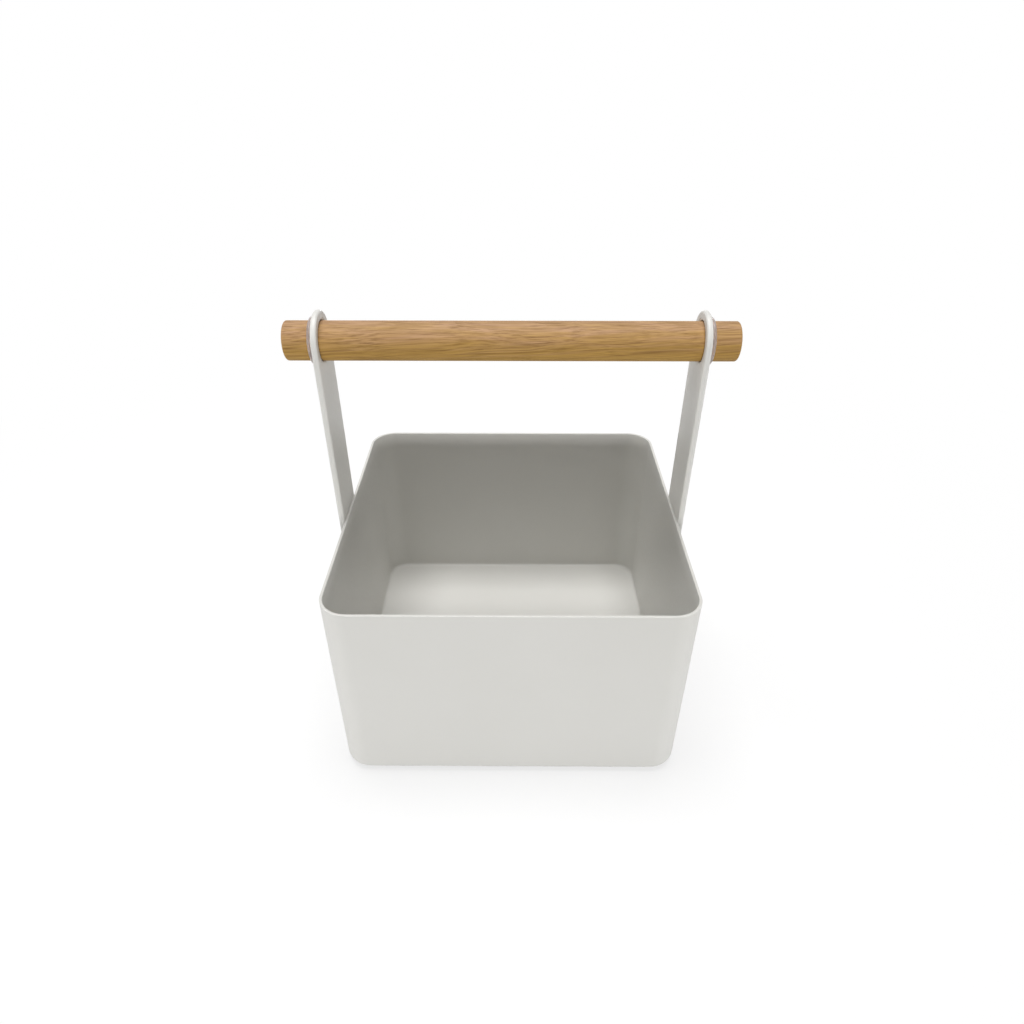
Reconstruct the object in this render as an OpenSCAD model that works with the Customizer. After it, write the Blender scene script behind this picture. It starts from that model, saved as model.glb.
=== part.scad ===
// Storage caddy: an open steel bin whose two flat side arms carry a loose wooden handle bar.
// Origin at the middle of the footprint on the table, X along the bar, front towards -Y, Z up.

/* [Bin] */
// Outside width of the bin, left to right
bin_w = 130; // [100:1:180]
// Outside depth of the bin, front to back
bin_d = 130; // [100:1:180]
// Height of the bin from its underside to its rim
bin_h = 80; // [70:1:140]
// Thickness of the coated steel sheet
sheet_t = 1; // [0.6:0.1:2.5]
// Inside radius of the upright corners
corner_r = 9.5; // [7:0.5:20]
// Inside radius of the bend from the base to the walls
bend_r = 1.5; // [0.5:0.5:6]

/* [Arms] */
// Thickness of the flat steel arms
arm_t = 2.2; // [1.5:0.1:4]
// Height of the bar's centre line above the rim
arm_rise = 69; // [45:1:110]
// Length of each arm that is welded to the outside of its wall
arm_lap = 45; // [20:1:50]
// Steel left around the eye at the top of each arm
eye_wall = 3.4; // [2:0.1:6]
// Radius of the corners at the lower end of each arm
arm_corner_r = 4; // [1:0.5:6]

/* [Handle bar] */
// Diameter of the wooden bar
bar_d = 13.5; // [10:0.5:25]
// Length of bar that stands out past each arm
bar_overhang = 10.7; // [6:0.1:30]
// Chamfer on the bar's end edges
bar_chamfer = 0.6; // [0.2:0.1:1.5]
// Radial play of the bar in the eyes
bar_play = 0.15; // [0.1:0.05:0.5]

/* [Stop rings] */
// Thickness of the round section of each stop ring
ring_d = 1.4; // [1:0.1:3]
// Radial play between a stop ring and the bar
ring_play = 0.05; // [0.05:0.05:0.3]
// Running gap between a stop ring and its arm
ring_gap = 0.3; // [0.2:0.05:1]

/* [Feet] */
// Diameter of the pads under the base
foot_d = 10; // [6:0.5:16]
// Thickness of the pads
foot_t = 1.2; // [0.8:0.1:4]
// Distance from the start of the corner curves to the edge of a pad
foot_margin = 0.5; // [0:0.5:15]

/* [Hidden] */
$fn = 96;
// Overshoot of a cut past the faces that it goes through
cut = 1;

rim_z = foot_t + bin_h;
bar_z = rim_z + arm_rise;
arm_outer_x = bin_w / 2 + arm_t;
eye_r = bar_d / 2 + bar_play;
arm_w = 2 * (eye_r + eye_wall);
arm_bottom_z = rim_z - arm_lap;
bar_l = 2 * (arm_outer_x + bar_overhang);
ring_mid_r = (bar_d + ring_d) / 2 + ring_play;
ring_x = arm_outer_x + ring_gap + ring_d / 2;
foot_inset = sheet_t + corner_r + foot_margin + foot_d / 2;
foot_x = bin_w / 2 - foot_inset;
foot_y = bin_d / 2 - foot_inset;

coat = [0.86, 0.85, 0.83];
beech = [0.72, 0.56, 0.39];
clear_silicone = [0.72, 0.68, 0.66];

// Upright section of a block, centred and standing on the X axis, with its lower corners rounded
module block_section(w, h, bend) {
    translate([-w / 2, bend])
        square([w, h - bend]);
    translate([bend - w / 2, 0])
        square([w - 2 * bend, h]);
    for (side = [-1, 1])
        translate([side * (w / 2 - bend), bend])
            circle(bend);
}

// Block standing on z = 0, with its upright corners and its lower edges each rounded
module rounded_block(w, d, h, corner, bend) {
    rotate([90, 0, 0])
        linear_extrude(d - 2 * corner, center = true)
            block_section(w, h, bend);
    rotate([90, 0, 90])
        linear_extrude(w - 2 * corner, center = true)
            block_section(d, h, bend);
    for (x = [-1, 1], y = [-1, 1])
        translate([x * (w / 2 - corner), y * (d / 2 - corner), 0])
            rotate_extrude()
                intersection() {
                    block_section(2 * corner, h, bend);
                    square([corner, h]);
                }
}

// Pressed steel pan, open at the top
module bin() {
    color(coat)
        translate([0, 0, foot_t])
            difference() {
                rounded_block(bin_w, bin_d, bin_h, corner_r + sheet_t, bend_r + sheet_t);
                translate([0, 0, sheet_t])
                    rounded_block(bin_w - 2 * sheet_t, bin_d - 2 * sheet_t, bin_h + cut, corner_r, bend_r);
            }
}

// Outline of an arm, flat, with the eye's centre at the origin and the lower end towards -Y
module arm_outline() {
    length = bar_z - arm_bottom_z;
    difference() {
        union() {
            circle(arm_w / 2);
            translate([-arm_w / 2, arm_corner_r - length])
                square([arm_w, length - arm_corner_r]);
            translate([arm_corner_r - arm_w / 2, -length])
                square([arm_w - 2 * arm_corner_r, length]);
            for (side = [-1, 1])
                translate([side * (arm_w / 2 - arm_corner_r), arm_corner_r - length])
                    circle(arm_corner_r);
        }
        circle(eye_r);
    }
}

// Flat arm against the outside of a side wall; side is -1 for left and 1 for right
module arm(side) {
    color(coat)
        translate([side * (bin_w / 2 + arm_t / 2), 0, bar_z])
            rotate([90, 0, 90])
                linear_extrude(arm_t, center = true)
                    arm_outline();
}

module left_arm() {
    arm(-1);
}

module right_arm() {
    arm(1);
}

// Round bar that turns in both eyes and draws out sideways
module handle_bar() {
    half = bar_l / 2;
    r = bar_d / 2;
    color(beech)
        translate([0, 0, bar_z])
            rotate([0, 90, 0])
                rotate_extrude()
                    polygon([
                        [0, -half],
                        [r - bar_chamfer, -half],
                        [r, bar_chamfer - half],
                        [r, half - bar_chamfer],
                        [r - bar_chamfer, half],
                        [0, half]
                    ]);
}

// Clear ring on the bar, just outside an arm, that keeps the bar from sliding through the eye
module stop_ring(side) {
    color(clear_silicone)
        translate([side * ring_x, 0, bar_z])
            rotate([0, 90, 0])
                rotate_extrude()
                    translate([ring_mid_r, 0])
                        circle(d = ring_d);
}

module left_stop_ring() {
    stop_ring(-1);
}

module right_stop_ring() {
    stop_ring(1);
}

// Stick-on pad under the flat of the base; side is -1 for left, end is -1 for front
module foot(side, end) {
    color(clear_silicone)
        translate([side * foot_x, end * foot_y, 0])
            cylinder(d = foot_d, h = foot_t);
}

module front_left_foot() {
    foot(-1, -1);
}

module front_right_foot() {
    foot(1, -1);
}

module back_left_foot() {
    foot(-1, 1);
}

module back_right_foot() {
    foot(1, 1);
}

bin();
left_arm();
right_arm();
handle_bar();
left_stop_ring();
right_stop_ring();
front_left_foot();
front_right_foot();
back_left_foot();
back_right_foot();
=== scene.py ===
"""Storage caddy: a coated steel bin whose two arms carry a wooden bar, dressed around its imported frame."""

from math import atan, cos, pi, radians, sin

import bmesh
import bpy
import numpy as np
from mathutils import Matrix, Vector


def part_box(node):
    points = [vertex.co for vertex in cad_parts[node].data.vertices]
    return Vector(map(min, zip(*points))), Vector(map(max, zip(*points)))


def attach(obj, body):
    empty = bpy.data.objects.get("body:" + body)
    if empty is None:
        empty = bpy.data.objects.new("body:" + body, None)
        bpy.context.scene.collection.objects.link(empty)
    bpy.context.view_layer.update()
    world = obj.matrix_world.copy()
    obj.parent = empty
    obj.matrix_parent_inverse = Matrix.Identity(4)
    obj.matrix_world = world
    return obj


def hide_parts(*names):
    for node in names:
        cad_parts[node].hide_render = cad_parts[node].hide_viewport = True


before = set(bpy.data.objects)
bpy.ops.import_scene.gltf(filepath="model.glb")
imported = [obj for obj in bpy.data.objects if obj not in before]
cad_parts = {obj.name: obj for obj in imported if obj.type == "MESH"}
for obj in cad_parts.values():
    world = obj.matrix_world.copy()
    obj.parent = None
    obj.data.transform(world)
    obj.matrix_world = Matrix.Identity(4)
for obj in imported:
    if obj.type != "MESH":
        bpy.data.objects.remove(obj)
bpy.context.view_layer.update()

bl_info = {
    "name": "Storage Caddy",
    "version": (1, 0, 0),
    "blender": (4, 5, 0),
    "location": "View3D > Sidebar > Caddy",
    "description": "Dresses the packed storage caddy in coated steel, beech and clear silicone",
    "category": "Object",
}

MM = 0.001
FEET = ("front_left_foot", "front_right_foot", "back_left_foot", "back_right_foot")
SIDES = ("left", "right")
X_AXIS = np.array([1.0, 0.0, 0.0])
Z_AXIS = np.array([0.0, 0.0, 1.0])

# Points closer than this are one point, so seams and poles close
MERGE = 0.001 * MM
# Distance of the extra row that keeps a flat flat beside a rounded edge
HOLD = 0.3 * MM
# Points on a quarter circle: upright corners, bends and arm corners, bar ends, coated edges, rim edges
CORNER_POINTS = 25
BEND_POINTS = 11
BAR_END_POINTS = 9
EDGE_POINTS = 7
RIM_POINTS = 6
# Steps up a wall and along a side of the bin
WALL_STEPS = 8
SIDE_STEPS = 12
# Points over an arm's crown and down its side, and steps along its lower edge
CROWN_POINTS = 65
ARM_SIDE_POINTS = 29
ARM_FOOT_STEPS = 4
# Steps along the bar, points from the middle to the edge of its end, and steps round the bar and the rings
BAR_STEPS = 24
BAR_FACE_POINTS = 6
BAR_TURN_STEPS = 96
# Points round a ring's section, the angle over which its moulding line fades, and steps round a pad
RING_POINTS = 33
RING_LINE_WIDTH = 0.16
PAD_TURN_STEPS = 48

# Place of the pith from the bar's centre, and slant and stretch of the bar's grain
PITH = np.array([0.0, 14.0, -32.0]) * MM
GRAIN_SLANT = (0.0, radians(-3.0), radians(-2.2))
GRAIN_STRETCH = 80.0
# Stretch of the fibres' weave along the bar, and how far they go aside over the noise's full swing
WEAVE_STRETCH = 4.0
WEAVE = 2.5 * MM
# A wave texture of scale 1 repeats after this length
WAVE_PERIOD = pi / 10

# Half the floor's width in metres, its cells along a side, and how far it lies under the pads
FLOOR_REACH = 6.0
FLOOR_CELLS = 12
FLOOR_DROP = 0.05 * MM
# Distances between which the floor's shade fades to white, in metres, and the share of white at the first
FADE_START = 0.12
FADE_END = 0.45
FADE_WHITE = 0.72
# Place, turn and size of the soft box overhead, in metres
KEY_PLACE = (-0.1, 0.1, 1.5)
KEY_TURN = (radians(-4), 0.0, 0.0)
KEY_SIZE = (1.0, 0.7)
# Distance, height and size of the low strips of light around the caddy, in metres
STRIP_AWAY = 1.2
STRIP_HEIGHT = 0.075
STRIP_SIZE = (0.4, 0.13)
# Sensor and lens of the camera in millimetres, its shift, nearest distance, place and turn
SENSOR = 36.0
LENS = 25.066
LENS_SHIFT = (0.00274, 0.02179)
CLIP_START = 0.01
CAMERA_PLACE = (0.647 * MM, -239.672 * MM, 238.917 * MM)
CAMERA_TURN = (radians(90 - 35.484), 0.0, radians(0.335))


def corners(node):
    """Lowest and highest corner of a CAD node, as two arrays in metres."""
    low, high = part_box(node)
    return np.array(low), np.array(high)


def linear(hex_colour):
    """Linear red, green and blue of an sRGB hex colour such as #D8D5CF."""
    srgb = np.array([int(hex_colour[i:i + 2], 16) for i in (1, 3, 5)]) / 255
    curve = np.where(srgb <= 0.04045, srgb / 12.92, ((srgb + 0.055) / 1.055) ** 2.4)
    return tuple(float(value) for value in curve)


def length(name, description, millimetres):
    """A length property of the caddy, with its default in millimetres."""
    return bpy.props.FloatProperty(
        name=name, description=description, default=millimetres * MM, min=0.0,
        precision=5, subtype="DISTANCE", unit="LENGTH",
    )


def colour(name, description, hex_colour):
    """A colour property of the caddy, with its default as an sRGB hex value."""
    return bpy.props.FloatVectorProperty(
        name=name, description=description, default=linear(hex_colour), size=3,
        min=0.0, max=1.0, subtype="COLOR",
    )


def level(name, description, default):
    """A plain factor of the stage's light."""
    return bpy.props.FloatProperty(name=name, description=description, default=default, min=0.0)


class CaddySizes(bpy.types.PropertyGroup):
    """Sizes of the pieces that the frame's boxes don't give."""

    sheet: length("Sheet", "Thickness of the bin's coated sheet", 1.0)
    corner: length("Corner", "Outside radius of the bin's upright corners", 10.5)
    bend: length("Bend", "Outside radius of the bin's lower edges", 2.5)
    rim_round: length("Rim rounding", "Radius of the coated edges along the rim", 0.25)
    eye: length("Eye", "Radius of the eye at the top of each arm", 6.9)
    arm_corner: length("Arm corner", "Radius of the corners at each arm's lower end", 4.0)
    arm_round: length("Arm rounding", "Radius of the coated edges of the arms", 0.9)
    bar_round: length("Bar rounding", "Radius of the sanded edges at the bar's ends", 0.65)
    ring_line: length("Moulding line", "Height of the moulding line around each stop ring", 0.03)
    pad_round: length("Pad rounding", "Radius of the lower edge of each pad", 0.45)
    pad_draft: length("Pad draft", "How much a pad's radius shrinks from the base to the table", 0.5)


class CaddyColours(bpy.types.PropertyGroup):
    """Colours of the finishes and of the floor."""

    coat: colour("Coat", "White powder coat", "#D6D5D1")
    coat_shade: colour("Coat shade", "Powder coat where it lies a little thinner", "#D1D0CB")
    # The bar leans to beech at its top and to beech gold at its bottom: besides a random drift, the paler
    # top is painted sheen and the yellower bottom painted warm bounce light
    beech: colour("Beech", "Rosy early wood of the bar", "#B48E69")
    beech_gold_and_bounce: colour("Beech gold", "Yellower early wood of the bar", "#AF8A48")
    beech_late: colour("Beech late wood", "Darker late wood of the bar", "#94703A")
    beech_pore: colour("Beech pore", "Thin brown pores and flecks of the bar", "#6A4A22")
    silicone: colour("Silicone", "Clear silicone of the rings and pads", "#D8CECB")
    floor: colour("Floor", "Pale floor under the caddy, as it is seen", "#F9F9F9")
    floor_bounce: colour("Floor bounce", "Floor as it throws light back on the caddy", "#A4A4A4")


class CaddyStage(bpy.types.PropertyGroup):
    """Levels of the studio light."""

    key: level("Key light", "Power of the soft box overhead, in watts", 20.2)
    front: level("Front light", "Power of the low strip in front, in watts", 8.8)
    back: level("Back light", "Power of the low strip behind, in watts", 8.2)
    side: level("Side lights", "Power of the low strip on each side, in watts", 4.5)
    ambient: level("Room light", "Strength of the room's own light", 0.18)


def steps(start, stop, count):
    """Evenly spaced values from start to stop in count steps, with an extra one a hold inside each end."""
    even = np.linspace(start, stop, count + 1)
    hold = np.sign(stop - start) * HOLD
    return np.concatenate([even[:1], [start + hold], even[1:-1], [stop - hold], even[-1:]])


def quarter_turn(points):
    """Even angles over a quarter of a circle."""
    return np.linspace(0, pi / 2, points)


def spokes(angle):
    """Unit vectors (cos angle, sin angle) in a plane."""
    return np.stack([np.cos(angle), np.sin(angle)], axis=-1)


def surface(name, grids):
    """Object of one or more grids of points, each (rows, columns, 3).

    Face (i, j) joins points (i, j), (i+1, j), (i+1, j+1) and (i, j+1). Grids meet where they share points:
    doubles are merged, which also closes seams and poles, and then the faces are turned outwards.
    """
    points, faces, start = [], [], 0
    for grid in grids:
        index = np.arange(grid.shape[0] * grid.shape[1]).reshape(grid.shape[:2]) + start
        quads = np.stack([index[:-1, :-1], index[1:, :-1], index[1:, 1:], index[:-1, 1:]], axis=-1)
        points.append(grid.reshape(-1, 3))
        faces.append(quads.reshape(-1, 4))
        start += index.size
    mesh = bpy.data.meshes.new(name)
    mesh.from_pydata(np.concatenate(points).tolist(), [], np.concatenate(faces).tolist())
    shell = bmesh.new()
    shell.from_mesh(mesh)
    bmesh.ops.remove_doubles(shell, verts=shell.verts, dist=MERGE)
    bmesh.ops.recalc_face_normals(shell, faces=shell.faces)
    shell.to_mesh(mesh)
    shell.free()
    mesh.polygons.foreach_set("use_smooth", np.ones(len(mesh.polygons), bool))
    piece = bpy.data.objects.new(name, mesh)
    bpy.context.scene.collection.objects.link(piece)
    return piece


def fit(piece, node, body, material):
    """Puts a finished piece in a CAD node's place, on its body, with its finish."""
    piece.data.materials.append(material)
    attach(piece, body)
    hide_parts(node)


def turned(along, radius, centre, axis, count):
    """Grid of a turned form: at each place along its axis, a circle of the given radius around the centre.

    Point (i, j) is centre + along[i] * axis + radius[i] * (cos a[j] * first + sin a[j] * second), with a
    going once round and first and second square to the axis.
    """
    first, second = np.roll(axis, 1), np.roll(axis, 2)
    angle = np.linspace(0, 2 * pi, count + 1)
    circle = np.cos(angle)[:, None] * first + np.sin(angle)[:, None] * second
    return np.array(centre) + along[:, None, None] * axis + radius[:, None, None] * circle


def bin_section(sizes, base, rim):
    """Section of the bin's sheet, as inset from the outside face and height.

    It runs from the corners' centre line under the base, round the lower bend (a quarter circle), up the
    wall, over the rim with a small round on each edge, down inside, round the inner bend, whose radius is
    smaller by the sheet's thickness, and back to the centre line on the base.
    """
    bend, sheet, edge = sizes.bend, sizes.sheet, sizes.rim_round
    quarter = quarter_turn(BEND_POINTS)
    small = quarter_turn(RIM_POINTS)
    wall = steps(base + bend, rim - edge, WALL_STEPS)
    inset = np.concatenate([
        [sizes.corner, bend + HOLD],
        bend - bend * np.sin(quarter),
        np.zeros(len(wall) - 2),
        edge - edge * np.cos(small),
        sheet - edge + edge * np.sin(small),
        np.full(len(wall) - 2, sheet),
        bend - (bend - sheet) * np.sin(quarter[::-1]),
        [bend + HOLD, sizes.corner],
    ])
    height = np.concatenate([
        [base, base],
        base + bend - bend * np.cos(quarter),
        wall[1:-1],
        rim - edge + edge * np.sin(small),
        rim - edge + edge * np.cos(small),
        wall[-2:0:-1],
        base + bend - (bend - sheet) * np.cos(quarter[::-1]),
        [base + sheet, base + sheet],
    ])
    return inset, height


def bin_grids(sizes):
    """Grids of the bin: its section carried round its plan, and the flats of the base outside and inside.

    The plan is a rectangle with round corners, written as core(u) + (corner - inset) * normal(u): core goes
    round the rectangle that joins the centres of the corners, and waits at each corner while normal turns.
    """
    low, high = corners("bin")
    half = (high - low)[:2] / 2 - sizes.corner
    centre = (high + low)[:2] / 2
    inset, height = bin_section(sizes, low[2], high[2])
    turn = quarter_turn(CORNER_POINTS)
    side = [steps(-size, size, SIDE_STEPS) for size in half]
    core, normal = [], []
    for quarter, (sx, sy) in enumerate(((1, 1), (-1, 1), (-1, -1), (1, -1))):
        core.append(np.tile([sx * half[0], sy * half[1]], (len(turn), 1)))
        normal.append(spokes(turn + quarter * pi / 2))
        along_y = quarter % 2
        run = -(sx, sy)[along_y] * side[along_y][1:-1]
        across = np.full(len(run), (sy * half[1], sx * half[0])[along_y])
        core.append(np.stack([across, run] if along_y else [run, across], axis=-1))
        normal.append(np.tile(normal[-1][-1], (len(run), 1)))
    core, normal = np.concatenate(core), np.concatenate(normal)
    core, normal = np.concatenate([core, core[:1]]), np.concatenate([normal, normal[:1]])
    plan = centre + core + (sizes.corner - inset)[:, None, None] * normal
    heights = np.broadcast_to(height[:, None, None], plan.shape[:2] + (1,))
    wall = np.concatenate([plan, heights], axis=-1)
    flat_x, flat_y = np.meshgrid(centre[0] + side[0], centre[1] + side[1], indexing="ij")
    flats = [np.stack([flat_x, flat_y, np.full(flat_x.shape, z)], axis=-1) for z in (height[0], height[-1])]
    return [wall, *flats]


def arm_outline(half, reach, corner):
    """Outline of an arm around its eye's centre, with its outward normals and its angle seen from the eye.

    A half circle over the eye, a straight side, a round corner, the lower edge, and the same again upwards.
    A straight side is cut at even angles seen from the eye, at depth half * tan(angle).
    """
    over = np.linspace(0, pi, CROWN_POINTS)
    slope = np.linspace(0, atan((reach - corner) / half), ARM_SIDE_POINTS)[1:-1]
    down = np.concatenate([[HOLD], half * np.tan(slope), [reach - corner - HOLD]])
    turn = quarter_turn(BEND_POINTS)
    foot = steps(-(half - corner), half - corner, ARM_FOOT_STEPS)[1:-1]
    left_turn, right_turn = pi + turn, 1.5 * pi + turn
    points = np.concatenate([
        half * spokes(over),
        np.stack([np.full(len(down), -half), -down], axis=-1),
        [corner - half, corner - reach] + corner * spokes(left_turn),
        np.stack([foot, np.full(len(foot), -reach)], axis=-1),
        [half - corner, corner - reach] + corner * spokes(right_turn),
        np.stack([np.full(len(down), half), -down[::-1]], axis=-1),
        [[half, 0.0]],
    ])
    facing = np.concatenate([
        over, np.full(len(down), pi), left_turn, np.full(len(foot), 1.5 * pi), right_turn,
        np.full(len(down) + 1, 2 * pi),
    ])
    return points, spokes(facing), np.arctan2(points[:, 1], points[:, 0])


def arm_grid(sizes, node):
    """Closed grid of an arm: a flat section between eye and outline, carried once round the eye.

    Each row has an offset and a place across the thickness. Rows of the outer edge lie at outline -
    offset * normal, rows of the eye at (eye + offset) * (cos angle, sin angle), and both edges are rounded
    by quarter circles, so that a row and its neighbour join into faces, edges and bore.
    """
    low, high = corners(node)
    half = (high[1] - low[1]) / 2
    eye_height = high[2] - half
    thick, edge = (high[0] - low[0]) / 2, sizes.arm_round
    outline, normal, angle = arm_outline(half, eye_height - low[2], sizes.arm_corner)
    quarter = quarter_turn(EDGE_POINTS)
    offset = np.concatenate([
        [edge + HOLD], edge - edge * np.sin(quarter), edge - edge * np.cos(quarter), [edge + HOLD],
    ])
    across = np.concatenate([
        [-thick], edge - thick - edge * np.cos(quarter), thick - edge + edge * np.sin(quarter), [thick],
    ])
    outer = outline - offset[:, None, None] * normal
    bore = (sizes.eye + offset[::-1])[:, None, None] * spokes(angle)
    flat = np.concatenate([outer, bore, outer[:1]])
    places = np.concatenate([across, across[::-1], across[:1]])
    grid = np.empty(flat.shape[:2] + (3,))
    grid[..., 0] = (low[0] + high[0]) / 2 + places[:, None]
    grid[..., 1] = (low[1] + high[1]) / 2 + flat[..., 0]
    grid[..., 2] = eye_height + flat[..., 1]
    return grid


def bar_grid(sizes):
    """Grid of the bar: a turned profile with flat ends and a quarter circle at each end's edge."""
    low, high = corners("handle_bar")
    half, radius, edge = (high[0] - low[0]) / 2, (high[2] - low[2]) / 2, sizes.bar_round
    quarter = quarter_turn(BAR_END_POINTS)
    end_along = half - edge + edge * np.sin(quarter)
    end_radius = radius - edge + edge * np.cos(quarter)
    spread = steps(edge - half, half - edge, BAR_STEPS)[1:-1]
    face = np.linspace(0, radius - edge - HOLD, BAR_FACE_POINTS)
    along = np.concatenate([
        np.full(len(face), -half), -end_along[::-1], spread, end_along, np.full(len(face), half),
    ])
    turn_radius = np.concatenate([
        face, end_radius[::-1], np.full(len(spread), radius), end_radius, face[::-1],
    ])
    return turned(along, turn_radius, (low + high) / 2, X_AXIS, BAR_TURN_STEPS)


def ring_grid(sizes, node):
    """Closed grid of a stop ring: a round section turned about the bar, with a low moulding line outside.

    The line stands out as height * exp(-(a / width)^2), with a the angle round the section from outside.
    """
    low, high = corners(node)
    thick = (high[0] - low[0]) / 2
    middle = (high[2] - low[2]) / 2 - thick
    angle = np.linspace(-pi, pi, RING_POINTS)
    section = thick - sizes.ring_line * (1 - np.exp(-(angle / RING_LINE_WIDTH) ** 2))
    along, radius = section * np.sin(angle), middle + section * np.cos(angle)
    return turned(along, radius, (low + high) / 2, X_AXIS, BAR_TURN_STEPS)


def pad_grid(sizes, node):
    """Grid of a pad: flat top and bottom, drafted side, and a quarter circle at the lower edge."""
    low, high = corners(node)
    top, tall = (high[0] - low[0]) / 2, high[2] - low[2]
    edge, bottom = sizes.pad_round, top - sizes.pad_draft
    quarter = quarter_turn(EDGE_POINTS)
    radius = np.concatenate([
        [0, bottom - edge - HOLD], bottom - edge + edge * np.sin(quarter), [top, top - HOLD, 0],
    ])
    along = np.concatenate([[0, 0], edge - edge * np.cos(quarter), [tall, tall, tall]])
    centre = (low + high) / 2
    centre[2] = low[2]
    return turned(along, radius, centre, Z_AXIS, PAD_TURN_STEPS)


def add_node(tree, kind, inputs=None, **settings):
    """Adds one node: settings are its own fields, inputs are values or outputs by socket name or number."""
    made = tree.nodes.new(kind)
    for field, value in settings.items():
        setattr(made, field, value)
    for socket, value in (inputs or {}).items():
        if isinstance(value, bpy.types.NodeSocket):
            tree.links.new(value, made.inputs[socket])
        else:
            made.inputs[socket].default_value = value
    return made


def new_material(name):
    """An empty node material and its tree."""
    material = bpy.data.materials.get(name) or bpy.data.materials.new(name)
    material.use_nodes = True
    material.node_tree.nodes.clear()
    return material, material.node_tree


def per_mm(size):
    """Texture scale, in metres of object space, that gives a pattern its size in millimetres."""
    return 1 / (size * MM)


def powder_coat(colours):
    """Satin white powder coat, baked on steel.

    The melted powder leaves a fine orange peel about 1.6 mm wide, which breaks up the sheen, and the coat's
    tone drifts a little over some centimetres.
    """
    material, tree = new_material("satin_white_powder_coat")
    place = add_node(tree, "ShaderNodeTexCoord").outputs["Object"]
    drift = add_node(tree, "ShaderNodeTexNoise", {"Vector": place, "Scale": per_mm(45), "Detail": 3.0})
    tone = add_node(tree, "ShaderNodeMix", {
        "Factor": drift.outputs["Fac"], "A": (*colours.coat_shade, 1), "B": (*colours.coat, 1),
    }, data_type="RGBA")
    peel = add_node(tree, "ShaderNodeTexNoise", {"Vector": place, "Scale": per_mm(1.6), "Detail": 2.0})
    sheen = add_node(tree, "ShaderNodeMapRange", {
        "Value": peel.outputs["Fac"], "From Min": 0.3, "From Max": 0.7, "To Min": 0.38, "To Max": 0.5,
    })
    bump = add_node(tree, "ShaderNodeBump", {
        "Height": peel.outputs["Fac"], "Strength": 0.5, "Distance": 0.06 * MM,
    })
    shader = add_node(tree, "ShaderNodeBsdfPrincipled", {
        "Base Color": tone.outputs["Result"], "Roughness": sheen.outputs["Result"],
        "Normal": bump.outputs["Normal"], "IOR": 1.5,
    })
    add_node(tree, "ShaderNodeOutputMaterial", {"Surface": shader.outputs["BSDF"]})
    return material


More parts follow.
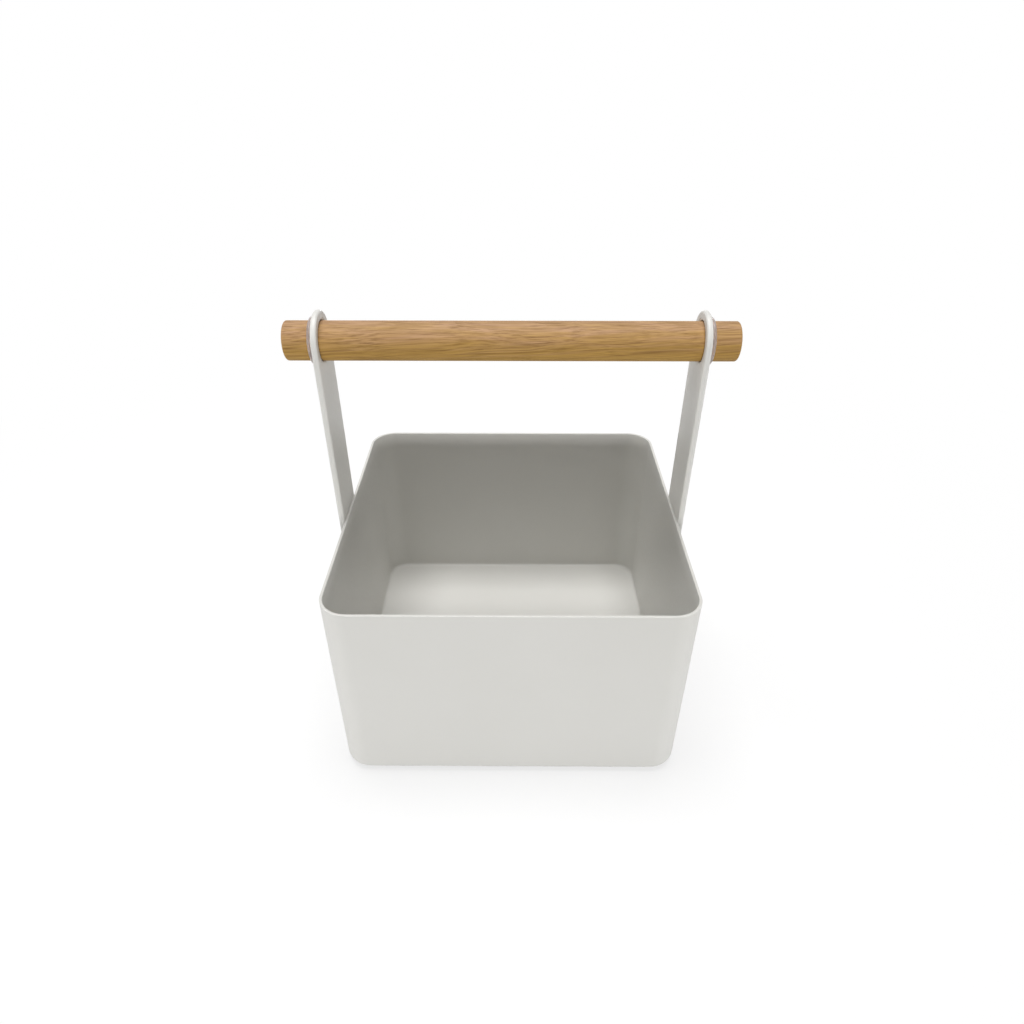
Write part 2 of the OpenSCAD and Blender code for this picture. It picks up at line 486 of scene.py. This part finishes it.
def oiled_beech(colours, end_round):
    """Turned beech, sanded and oiled.

    The fibres run along the bar but weave by about a millimetre, so the figure rises and falls. The tone
    drifts at random along the fibres, and is also painted from the bar's bottom to its top: paler and pinker
    at the top as painted sheen, yellower at the bottom as painted warm bounce light. Faint growth layers lie
    round a pith outside the bar. Thin brown pores fade in and out, drawn coarser than real ones so that they
    show.
    On the end faces the layers show as arcs and the pores are faint.
    """
    material, tree = new_material("turned_oiled_beech")
    low, high = corners("handle_bar")
    place = add_node(tree, "ShaderNodeTexCoord").outputs["Object"]
    stretched = add_node(tree, "ShaderNodeMapping", {
        "Vector": place, "Scale": (WEAVE_STRETCH, 1.0, 1.0),
    }, vector_type="TEXTURE")
    weave = add_node(tree, "ShaderNodeTexNoise", {
        "Vector": stretched.outputs["Vector"], "Scale": per_mm(9.0), "Detail": 1.0,
    })
    woven = add_node(tree, "ShaderNodeVectorMath", {
        0: weave.outputs["Color"], 1: (0.0, WEAVE, WEAVE), 2: place,
    }, operation="MULTIPLY_ADD")
    grain = add_node(tree, "ShaderNodeMapping", {
        "Vector": woven.outputs["Vector"], "Location": tuple((low + high) / 2 + PITH),
        "Rotation": GRAIN_SLANT, "Scale": (GRAIN_STRETCH, 1.0, 1.0),
    }, vector_type="TEXTURE")
    drift = add_node(tree, "ShaderNodeTexNoise", {
        "Vector": grain.outputs["Vector"], "Scale": per_mm(1.4), "Detail": 2.0,
    })
    across = add_node(tree, "ShaderNodeSeparateXYZ", {"Vector": place})
    # Painted light: height on the bar, which makes the top paler as painted sheen and the bottom yellower as
    # painted warm bounce light
    side = add_node(tree, "ShaderNodeMapRange", {
        "Value": across.outputs["Z"], "From Min": float(low[2]), "From Max": float(high[2]),
    })
    drift_and_sheen_ramp = add_node(tree, "ShaderNodeMix", {
        "Factor": 0.4, "A": drift.outputs["Fac"], "B": side.outputs["Result"],
    })
    drift_and_sheen_share = add_node(tree, "ShaderNodeMapRange", {
        "Value": drift_and_sheen_ramp.outputs["Result"], "From Min": 0.42, "From Max": 0.75,
    })
    early = add_node(tree, "ShaderNodeMix", {
        "Factor": drift_and_sheen_share.outputs["Result"], "A": (*colours.beech_gold_and_bounce, 1), "B": (*colours.beech, 1),
    }, data_type="RGBA")
    growth = add_node(tree, "ShaderNodeTexWave", {
        "Vector": grain.outputs["Vector"], "Scale": per_mm(1.5) * WAVE_PERIOD, "Distortion": 3.0,
        "Detail": 2.0, "Detail Scale": 0.7,
    }, wave_type="RINGS", rings_direction="X", wave_profile="SAW")
    from_middle = add_node(tree, "ShaderNodeMath", {0: across.outputs["X"]}, operation="ABSOLUTE")
    end = add_node(tree, "ShaderNodeMapRange", {
        "Value": from_middle.outputs["Value"],
        "From Min": float(high[0]) - end_round, "From Max": float(high[0]),
    })
    arcs = add_node(tree, "ShaderNodeMapRange", {
        "Value": end.outputs["Result"], "To Min": 0.35, "To Max": 0.75,
    })
    late = add_node(tree, "ShaderNodeMapRange", {
        "Value": growth.outputs["Fac"], "From Min": 0.4, "From Max": 1.0, "To Max": arcs.outputs["Result"],
    })
    layered = add_node(tree, "ShaderNodeMix", {
        "Factor": late.outputs["Result"], "A": early.outputs["Result"], "B": (*colours.beech_late, 1),
    }, data_type="RGBA")
    pores = add_node(tree, "ShaderNodeTexNoise", {
        "Vector": grain.outputs["Vector"], "Scale": per_mm(0.42), "Detail": 3.0, "Roughness": 0.6,
    })
    pits = add_node(tree, "ShaderNodeMapRange", {
        "Value": end.outputs["Result"], "To Min": 0.75, "To Max": 0.3,
    })
    pore = add_node(tree, "ShaderNodeMapRange", {
        "Value": pores.outputs["Fac"], "From Min": 0.42, "From Max": 0.72, "To Max": pits.outputs["Result"],
    })
    pored = add_node(tree, "ShaderNodeMix", {
        "Factor": pore.outputs["Result"], "A": layered.outputs["Result"], "B": (*colours.beech_pore, 1),
    }, data_type="RGBA")
    gloss = add_node(tree, "ShaderNodeMapRange", {
        "Value": pores.outputs["Fac"], "To Min": 0.62, "To Max": 0.82,
    })
    bump = add_node(tree, "ShaderNodeBump", {
        "Height": pores.outputs["Fac"], "Strength": 0.3, "Distance": 0.05 * MM,
    }, invert=True)
    shader = add_node(tree, "ShaderNodeBsdfPrincipled", {
        "Base Color": pored.outputs["Result"], "Roughness": gloss.outputs["Result"],
        "Normal": bump.outputs["Normal"], "IOR": 1.5,
    })
    add_node(tree, "ShaderNodeOutputMaterial", {"Surface": shader.outputs["BSDF"]})
    return material


def clear_silicone(colours):
    """Moulded clear silicone.

    Light passes through it and is softly spread, so the wood shows as a hazy tint, with a faint cloudiness.
    """
    material, tree = new_material("moulded_clear_silicone")
    place = add_node(tree, "ShaderNodeTexCoord").outputs["Object"]
    cloud = add_node(tree, "ShaderNodeTexNoise", {"Vector": place, "Scale": per_mm(1.2), "Detail": 2.0})
    haze = add_node(tree, "ShaderNodeMapRange", {
        "Value": cloud.outputs["Fac"], "To Min": 0.22, "To Max": 0.42,
    })
    bump = add_node(tree, "ShaderNodeBump", {
        "Height": cloud.outputs["Fac"], "Strength": 0.15, "Distance": 0.02 * MM,
    })
    shader = add_node(tree, "ShaderNodeBsdfPrincipled", {
        "Base Color": (*colours.silicone, 1), "Roughness": haze.outputs["Result"],
        "Normal": bump.outputs["Normal"], "IOR": 1.41, "Transmission Weight": 0.75,
    })
    add_node(tree, "ShaderNodeOutputMaterial", {"Surface": shader.outputs["BSDF"]})
    return material


def seen_directly(tree):
    """Factor that is 1 where the stage is seen, also by reflection, and 0 where it lights the caddy."""
    rays = add_node(tree, "ShaderNodeLightPath")
    both = add_node(tree, "ShaderNodeMath", {
        0: rays.outputs["Is Camera Ray"], 1: rays.outputs["Is Glossy Ray"],
    }, operation="MAXIMUM")
    every = add_node(tree, "ShaderNodeMath", {
        0: both.outputs["Value"], 1: rays.outputs["Is Transmission Ray"],
    }, operation="MAXIMUM")
    return every.outputs["Value"]


def matt_paper(colours):
    """Matt white paper of the floor.

    It takes the caddy's shadow nearby and runs out to plain white. What it throws back on the caddy is
    greyer than what is seen, as from a smaller sheet.
    """
    material, tree = new_material("pale_floor")
    seen = seen_directly(tree)
    tone = add_node(tree, "ShaderNodeMix", {
        "Factor": seen, "A": (*colours.floor_bounce, 1), "B": (*colours.floor, 1),
    }, data_type="RGBA")
    paper = add_node(tree, "ShaderNodeBsdfDiffuse", {"Color": tone.outputs["Result"]})
    glow = add_node(tree, "ShaderNodeEmission", {"Strength": 1.0})
    place = add_node(tree, "ShaderNodeTexCoord").outputs["Object"]
    away = add_node(tree, "ShaderNodeVectorMath", {"Vector": place}, operation="LENGTH")
    share = add_node(tree, "ShaderNodeMapRange", {
        "Value": away.outputs["Value"], "From Min": FADE_START, "From Max": FADE_END,
        "To Min": FADE_WHITE, "To Max": 1.0,
    }, interpolation_type="SMOOTHSTEP")
    white_share = add_node(tree, "ShaderNodeMath", {
        0: seen, 1: share.outputs["Result"],
    }, operation="MULTIPLY")
    mixed = add_node(tree, "ShaderNodeMixShader", {
        0: white_share.outputs["Value"], 1: paper.outputs["BSDF"], 2: glow.outputs["Emission"],
    })
    add_node(tree, "ShaderNodeOutputMaterial", {"Surface": mixed.outputs["Shader"]})
    return material


def make_floor(colours):
    """Flat square grid just under the pads, facing up."""
    reach = np.linspace(-FLOOR_REACH, FLOOR_REACH, FLOOR_CELLS + 1)
    floor_x, floor_y = np.meshgrid(reach, reach, indexing="ij")
    floor = surface("floor", [np.stack([floor_x, floor_y, np.full(floor_x.shape, -FLOOR_DROP)], axis=-1)])
    if floor.data.polygons[0].normal.z < 0:
        floor.data.flip_normals()
    floor.data.materials.append(matt_paper(colours))


def light_room(scene, ambient):
    """World that is plain white where it is seen, and dimmer where it lights the caddy."""
    world = scene.world or bpy.data.worlds.new("studio")
    scene.world = world
    world.use_nodes = True
    tree = world.node_tree
    tree.nodes.clear()
    room = add_node(tree, "ShaderNodeBackground", {"Color": (1, 1, 1, 1), "Strength": ambient})
    white = add_node(tree, "ShaderNodeBackground", {"Color": (1, 1, 1, 1), "Strength": 1.0})
    sky = add_node(tree, "ShaderNodeMixShader", {
        0: seen_directly(tree), 1: room.outputs["Background"], 2: white.outputs["Background"],
    })
    add_node(tree, "ShaderNodeOutputWorld", {"Surface": sky.outputs["Shader"]})


def hang_lamps(scene, stage):
    """A soft box overhead, and a low strip on each of the four sides that faces the caddy."""
    lamps = [("key_light", KEY_PLACE, KEY_TURN, KEY_SIZE, stage.key)]
    for name, degrees, power in (
        ("front_light", 0, stage.front), ("right_light", 90, stage.side),
        ("back_light", 180, stage.back), ("left_light", 270, stage.side),
    ):
        angle = radians(degrees)
        place = (STRIP_AWAY * sin(angle), -STRIP_AWAY * cos(angle), STRIP_HEIGHT)
        lamps.append((name, place, (radians(90), 0.0, angle), STRIP_SIZE, power))
    for name, place, turn, size, power in lamps:
        lamp = bpy.data.lights.new(name, "AREA")
        lamp.shape, lamp.energy = "RECTANGLE", power
        lamp.size, lamp.size_y = size
        light = bpy.data.objects.new(name, lamp)
        light.location, light.rotation_euler = place, turn
        # A strip reflected at a low angle would burn out the tops of the arms
        light.visible_glossy = name == "key_light"
        scene.collection.objects.link(light)


def set_camera(scene):
    """Camera at the photograph's viewing angle and framing."""
    lens = bpy.data.cameras.new("camera")
    lens.sensor_width, lens.lens = SENSOR, LENS
    lens.shift_x, lens.shift_y = LENS_SHIFT
    lens.clip_start = CLIP_START
    camera = bpy.data.objects.new("camera", lens)
    camera.location, camera.rotation_euler = CAMERA_PLACE, CAMERA_TURN
    scene.collection.objects.link(camera)
    scene.camera = camera


class CADDY_OT_bin(bpy.types.Operator):
    """Make the pressed steel bin"""

    bl_idname = "caddy.bin"
    bl_label = "Steel bin"

    def execute(self, context):
        piece = surface("steel_bin", bin_grids(context.scene.caddy_sizes))
        fit(piece, "bin", "frame", powder_coat(context.scene.caddy_colours))
        return {"FINISHED"}


class CADDY_OT_arms(bpy.types.Operator):
    """Make the two flat steel arms"""

    bl_idname = "caddy.arms"
    bl_label = "Steel arms"

    def execute(self, context):
        coat = powder_coat(context.scene.caddy_colours)
        for side in SIDES:
            node = f"{side}_arm"
            piece = surface(f"{side}_steel_arm", [arm_grid(context.scene.caddy_sizes, node)])
            fit(piece, node, "frame", coat)
        return {"FINISHED"}


class CADDY_OT_bar(bpy.types.Operator):
    """Make the turned beech bar"""

    bl_idname = "caddy.bar"
    bl_label = "Beech bar"

    def execute(self, context):
        sizes = context.scene.caddy_sizes
        piece = surface("beech_bar", [bar_grid(sizes)])
        beech = oiled_beech(context.scene.caddy_colours, sizes.bar_round)
        fit(piece, "handle_bar", "bar", beech)
        return {"FINISHED"}


class CADDY_OT_stop_rings(bpy.types.Operator):
    """Make the two clear stop rings"""

    bl_idname = "caddy.stop_rings"
    bl_label = "Stop rings"

    def execute(self, context):
        silicone = clear_silicone(context.scene.caddy_colours)
        for side in SIDES:
            node = f"{side}_stop_ring"
            piece = surface(f"{side}_silicone_ring", [ring_grid(context.scene.caddy_sizes, node)])
            fit(piece, node, f"{side}_ring", silicone)
        return {"FINISHED"}


class CADDY_OT_pads(bpy.types.Operator):
    """Make the four clear pads under the base"""

    bl_idname = "caddy.pads"
    bl_label = "Pads"

    def execute(self, context):
        silicone = clear_silicone(context.scene.caddy_colours)
        for node in FEET:
            piece = surface(node.replace("foot", "pad"), [pad_grid(context.scene.caddy_sizes, node)])
            fit(piece, node, "frame", silicone)
        return {"FINISHED"}


class CADDY_OT_stage(bpy.types.Operator):
    """Make the floor, the studio light and the camera"""

    bl_idname = "caddy.stage"
    bl_label = "Stage"

    def execute(self, context):
        scene = context.scene
        scene.view_settings.view_transform = "Standard"
        make_floor(scene.caddy_colours)
        light_room(scene, scene.caddy_stage.ambient)
        hang_lamps(scene, scene.caddy_stage)
        set_camera(scene)
        return {"FINISHED"}


class CADDY_PT_sidebar(bpy.types.Panel):
    """Sizes, colours and pieces of the caddy"""

    bl_idname = "CADDY_PT_sidebar"
    bl_label = "Storage Caddy"
    bl_space_type = "VIEW_3D"
    bl_region_type = "UI"
    bl_category = "Caddy"

    def draw(self, context):
        scene = context.scene
        for group in (scene.caddy_sizes, scene.caddy_colours, scene.caddy_stage):
            box = self.layout.box()
            for name in group.__annotations__:
                box.prop(group, name)
        for operator in OPERATORS:
            self.layout.operator(operator.bl_idname)


OPERATORS = (
    CADDY_OT_bin, CADDY_OT_arms, CADDY_OT_bar, CADDY_OT_stop_rings, CADDY_OT_pads, CADDY_OT_stage,
)
GROUPS = {"caddy_sizes": CaddySizes, "caddy_colours": CaddyColours, "caddy_stage": CaddyStage}
CLASSES = (*GROUPS.values(), *OPERATORS, CADDY_PT_sidebar)


def register():
    """Register the classes and hang the property groups on the scene."""
    for item in CLASSES:
        bpy.utils.register_class(item)
    for name, group in GROUPS.items():
        setattr(bpy.types.Scene, name, bpy.props.PointerProperty(type=group))


def unregister():
    """Undo register."""
    for name in GROUPS:
        delattr(bpy.types.Scene, name)
    for item in reversed(CLASSES):
        bpy.utils.unregister_class(item)


def main():
    register()
    bpy.ops.caddy.bin()
    bpy.ops.caddy.arms()
    bpy.ops.caddy.bar()
    bpy.ops.caddy.stop_rings()
    bpy.ops.caddy.pads()
    bpy.ops.caddy.stage()


if __name__ == "__main__":
    main()
